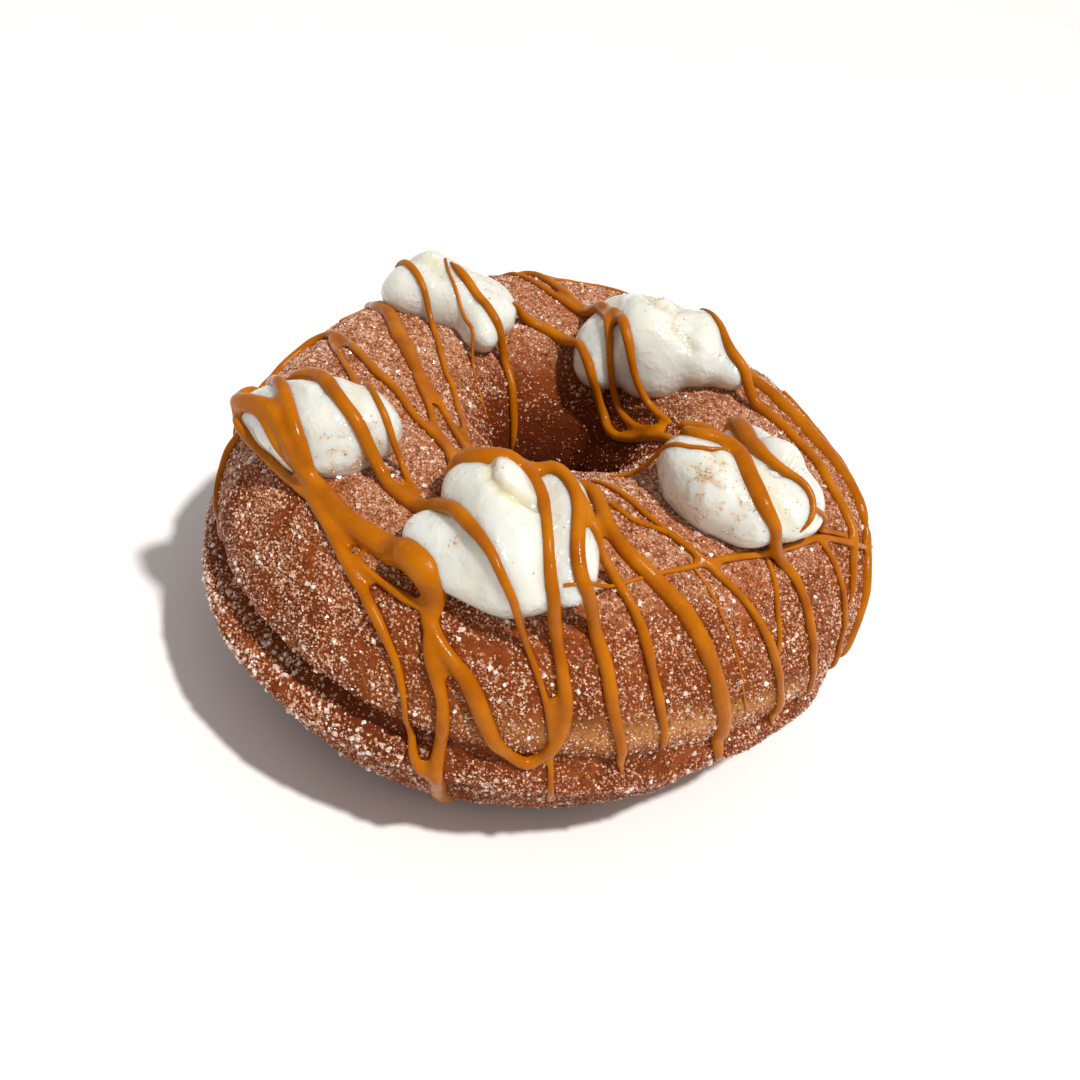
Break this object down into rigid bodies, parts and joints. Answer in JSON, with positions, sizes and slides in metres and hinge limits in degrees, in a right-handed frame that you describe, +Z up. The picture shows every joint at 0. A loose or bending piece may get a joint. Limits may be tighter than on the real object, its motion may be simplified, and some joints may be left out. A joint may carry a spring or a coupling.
{
  "type": "churro doughnut",
  "caption": "Ring of fried dough rolled in cinnamon sugar, with whipped cream dollops on the crest and caramel run over in strands.",
  "frame": {"origin": "on the surface that the doughnut rests on, below the middle of its bounding box", "axes": "+Z up through the hole, -Y towards the large front dollop and the viewer of the picture, +X to the viewer's right"},
  "size_m": [0.1006, 0.1096, 0.0566],
  "materials": {
    "sugared_dough": "fried dough, matt, coated in coarse cinnamon sugar",
    "whipped_cream": "smooth whipped cream with a wet sheen and specks of cinnamon",
    "caramel": "thick glossy caramel",
    "sugar": "loose sugar crystals dusted with cinnamon"
  },
  "bodies": {
    "root": {"sugared_ring": "sugared_dough", "cream_back_left": "whipped_cream", "cream_back_right": "whipped_cream", "cream_right": "whipped_cream", "cream_front": "whipped_cream", "cream_left": "whipped_cream"}
  },
  "joints": []
}
